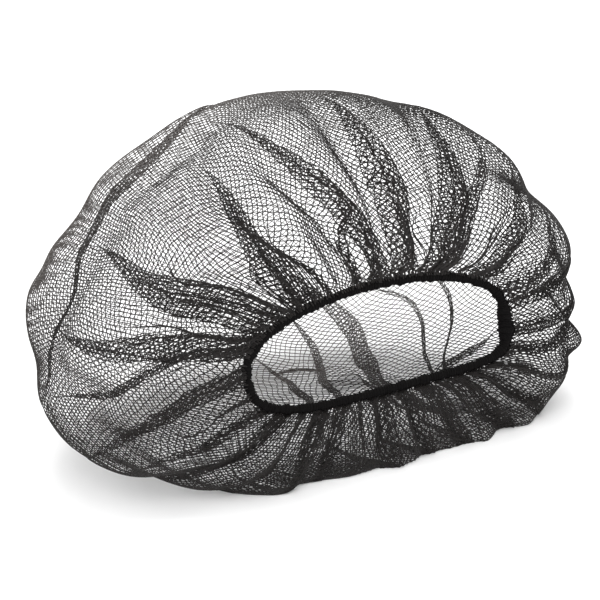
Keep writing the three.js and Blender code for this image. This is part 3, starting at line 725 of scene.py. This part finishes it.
class HAIRNET_OT_stage(bpy.types.Operator):
    """Set the camera, the floor and the soft studio light"""

    bl_idname = "hairnet.stage"
    bl_label = "Stage"

    def execute(self, context):
        stage = context.scene.hairnet_stage
        back, right, up = camera_axes(stage.azimuth, stage.height)
        start = SHIFT * MM
        start[2] = 0
        place = start + back * stage.distance
        # The form's own zero is seen right of and below the middle of the picture.
        pixels = stage.lens / SENSOR * PICTURE
        aside = (PICTURE / 2 - ZERO_SEEN_AT[0]) / pixels
        below = (ZERO_SEEN_AT[1] - PICTURE / 2) / pixels
        aim = -back + right * aside + up * below
        data = bpy.data.cameras.new("Camera")
        data.lens = stage.lens
        data.sensor_width = SENSOR
        data.clip_start = 0.05
        data.clip_end = 50
        camera = bpy.data.objects.new("Camera", data)
        camera.location = place
        camera.rotation_euler = Vector(aim).to_track_quat("-Z", "Y").to_euler()
        context.scene.collection.objects.link(camera)
        context.scene.camera = camera
        context.scene.view_settings.view_transform = "Standard"

        size = 30.0
        corners = np.array([(-size, -size, 0), (size, -size, 0), (size, size, 0), (-size, size, 0)], float)
        finish = studio_floor(context.scene.hairnet_colours)
        mesh_object("floor", corners, np.array([[0, 1, 2, 3]]), finish)

        world = bpy.data.worlds.new("Studio")
        world.use_nodes = True
        world.node_tree.nodes["Background"].inputs["Color"].default_value = (1, 1, 1, 1)
        world.node_tree.nodes["Background"].inputs["Strength"].default_value = 1.0
        context.scene.world = world
        for name, spot, target, power, across in (
            ("Key", (0.5, 0.9, 1.5), (0, 0, 0.05), 26.0, 1.4),
            ("Fill", (-1.2, -1.0, 1.3), (0, 0, 0.05), 12.0, 1.6),
        ):
            lamp = bpy.data.lights.new(name, "AREA")
            lamp.energy = power
            lamp.size = across
            obj = bpy.data.objects.new(name, lamp)
            obj.location = spot
            obj.rotation_euler = (Vector(target) - Vector(spot)).to_track_quat("-Z", "Y").to_euler()
            context.scene.collection.objects.link(obj)
        return {"FINISHED"}


class HAIRNET_OT_elastic(bpy.types.Operator):
    """Build the thread-wrapped elastic with its bunched hem"""

    bl_idname = "hairnet.elastic"
    bl_label = "Elastic"

    def execute(self, context):
        sizes = context.scene.hairnet_elastic
        length = np.linalg.norm(np.diff(CENTRE, axis=0), axis=1).sum()
        bulges = round(length / (sizes.scallop / MM))
        steps, sides = bulges * 8, 14
        turns = np.linspace(0, 1, steps, endpoint=False)
        centre, _, out, forward = elastic_frame(turns)
        angle = TURN * np.arange(sides) / sides
        random = np.random.default_rng(11)
        rough = 1 + 0.05 * random.standard_normal((steps, sides))
        away = elastic_radius(turns) * (CORE[0] + CORE[1] * bulging(turns, bulges)) + bunch(turns)
        radius = away[:, None] * rough
        ring = centre[:, None] + radius[..., None] * (
            out[:, None] * np.cos(angle)[None, :, None] + forward[:, None] * np.sin(angle)[None, :, None])
        i = np.arange(steps)[:, None]
        k = np.arange(sides)[None, :]
        here, there = i * sides, (i + 1) % steps * sides
        n = (k + 1) % sides
        core_faces = np.stack([here + k, there + k, there + n, here + n], -1).reshape(-1, 4)
        core = (ring.reshape(-1, 3), core_faces)

        # The wrapping thread runs round the elastic in an uneven helix.
        per_turn = 12
        count = sizes.wraps * per_turn
        at = np.linspace(0, 1, count)
        along = at + 0.0006 * np.sin(TURN * 37 * at)
        spin = TURN * sizes.wraps * at
        centre, _, out, forward = elastic_frame(along)
        away = elastic_radius(along) * (WRAP[0] + WRAP[1] * bulging(along, bulges)) + bunch(along)
        direction = out * np.cos(spin)[:, None] + forward * np.sin(spin)[:, None]
        path = centre + direction * away[:, None]
        wrap = tubes(path[None], direction[None], sizes.thread / MM, 5)

        points, faces = joined([core, wrap])
        elastic = mesh_object(
            "elastic_cord", in_metres(points), faces, wrapped_thread(context.scene.hairnet_colours))
        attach(elastic, "root")
        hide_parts("elastic_band")
        return {"FINISHED"}


class HAIRNET_OT_net(bpy.types.Operator):
    """Build the net of fine strands, as four quarters of one disk"""

    bl_idname = "hairnet.net"
    bl_label = "Net"

    def execute(self, context):
        sizes = context.scene.hairnet_net
        radius = sizes.disk / 2 / MM
        pitch = sizes.pitch / MM
        count = int(radius / pitch)
        random = np.random.default_rng(7)
        stray = random.uniform(-1, 1, (2 * count + 1, 2 * count + 1, 2)) * sizes.uneven / MM
        turned = np.array([[math.cos(sizes.turned), -math.sin(sizes.turned)],
                           [math.sin(sizes.turned), math.cos(sizes.turned)]])
        finish = nylon(context.scene.hairnet_colours)
        for name, way_x, way_y in QUARTERS:
            flat_lines = []
            for family in (0, 1):
                first = 0 if (way_x, way_y)[1 - family] > 0 else 1
                for row in range(first, count + 1):
                    last = math.sqrt(max(radius ** 2 - (row * pitch) ** 2, 0)) / pitch
                    knots = np.arange(0, int(last) + 1)
                    if len(knots) < 2:
                        continue
                    line = np.empty((len(knots) + 2, 2))
                    line[:-2, family] = knots * pitch
                    line[-2:, family] = last * pitch
                    line[:, 1 - family] = row * pitch
                    line *= (way_x, way_y)
                    index = (knots * way_x + count, row * way_y + count) if family == 0 else (
                        row * way_x + count, knots * way_y + count)
                    line[:-2] += stray[index]
                    flat_lines.append(line @ turned.T)
            lengths = [len(line) for line in flat_lines]
            flat = np.concatenate(flat_lines)
            distance = np.minimum(np.hypot(flat[:, 0], flat[:, 1]), radius)
            turns = np.arctan2(flat[:, 1], flat[:, 0]) / TURN
            # The mesh is tighter at the crown, where nothing pulls it, than by the elastic.
            out_share = distance / radius
            along = 1 - out_share * (AT_CROWN + (1 - AT_CROWN) * out_share)
            points, normals = net_points(turns, along, radius, sizes.slack)
            share = (1 + THICKER_AT_HEM - THICKER_AT_HEM * smooth(along / 0.32)
                     - FINER_AT_CROWN * smooth((along - 0.35) / 0.3))
            thick = sizes.strand / MM * share
            ends = np.cumsum(lengths)
            hem_turns, _, _ = pleats(turns[ends - 1], np.zeros(len(ends)), radius, sizes.slack)
            wrapped = random.uniform(0.4, 1.1, len(ends))
            points[ends - 1], normals[ends - 1] = hem_points(hem_turns, wrapped)
            parts = []
            start = 0
            for length in lengths:
                stop = start + length
                part = slice(start, stop)
                parts.append(tubes(points[None, part], normals[None, part], thick[None, part], 3))
                start = stop
            solid, faces = joined(parts)
            solid[:, 2] = np.maximum(solid[:, 2], 0.02)
            quarter = mesh_object(name, in_metres(solid), faces, finish)
            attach(quarter, "root")
            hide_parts("net")
        return {"FINISHED"}


class HAIRNET_PT_panel(bpy.types.Panel):
    """Hairnet pieces and their sizes"""

    bl_idname = "HAIRNET_PT_panel"
    bl_label = "Hairnet"
    bl_space_type = "VIEW_3D"
    bl_region_type = "UI"
    bl_category = "Hairnet"

    def draw(self, context):
        for group in ("hairnet_net", "hairnet_elastic", "hairnet_colours", "hairnet_stage"):
            box = self.layout.box()
            settings = getattr(context.scene, group)
            for key in settings.__annotations__:
                box.prop(settings, key)
        for operator in OPERATORS:
            self.layout.operator(operator.bl_idname)


GROUPS = {
    "hairnet_net": NetSizes,
    "hairnet_elastic": ElasticSizes,
    "hairnet_colours": Colours,
    "hairnet_stage": Stage,
}
OPERATORS = (HAIRNET_OT_stage, HAIRNET_OT_elastic, HAIRNET_OT_net)


def register():
    for cls in (*GROUPS.values(), *OPERATORS, HAIRNET_PT_panel):
        bpy.utils.register_class(cls)
    for name, cls in GROUPS.items():
        setattr(bpy.types.Scene, name, PointerProperty(type=cls))


def unregister():
    for name in GROUPS:
        delattr(bpy.types.Scene, name)
    for cls in (HAIRNET_PT_panel, *reversed(OPERATORS), *reversed(list(GROUPS.values()))):
        bpy.utils.unregister_class(cls)


def main():
    register()
    bpy.ops.hairnet.stage()
    bpy.ops.hairnet.elastic()
    bpy.ops.hairnet.net()


if __name__ == "__main__":
    main()
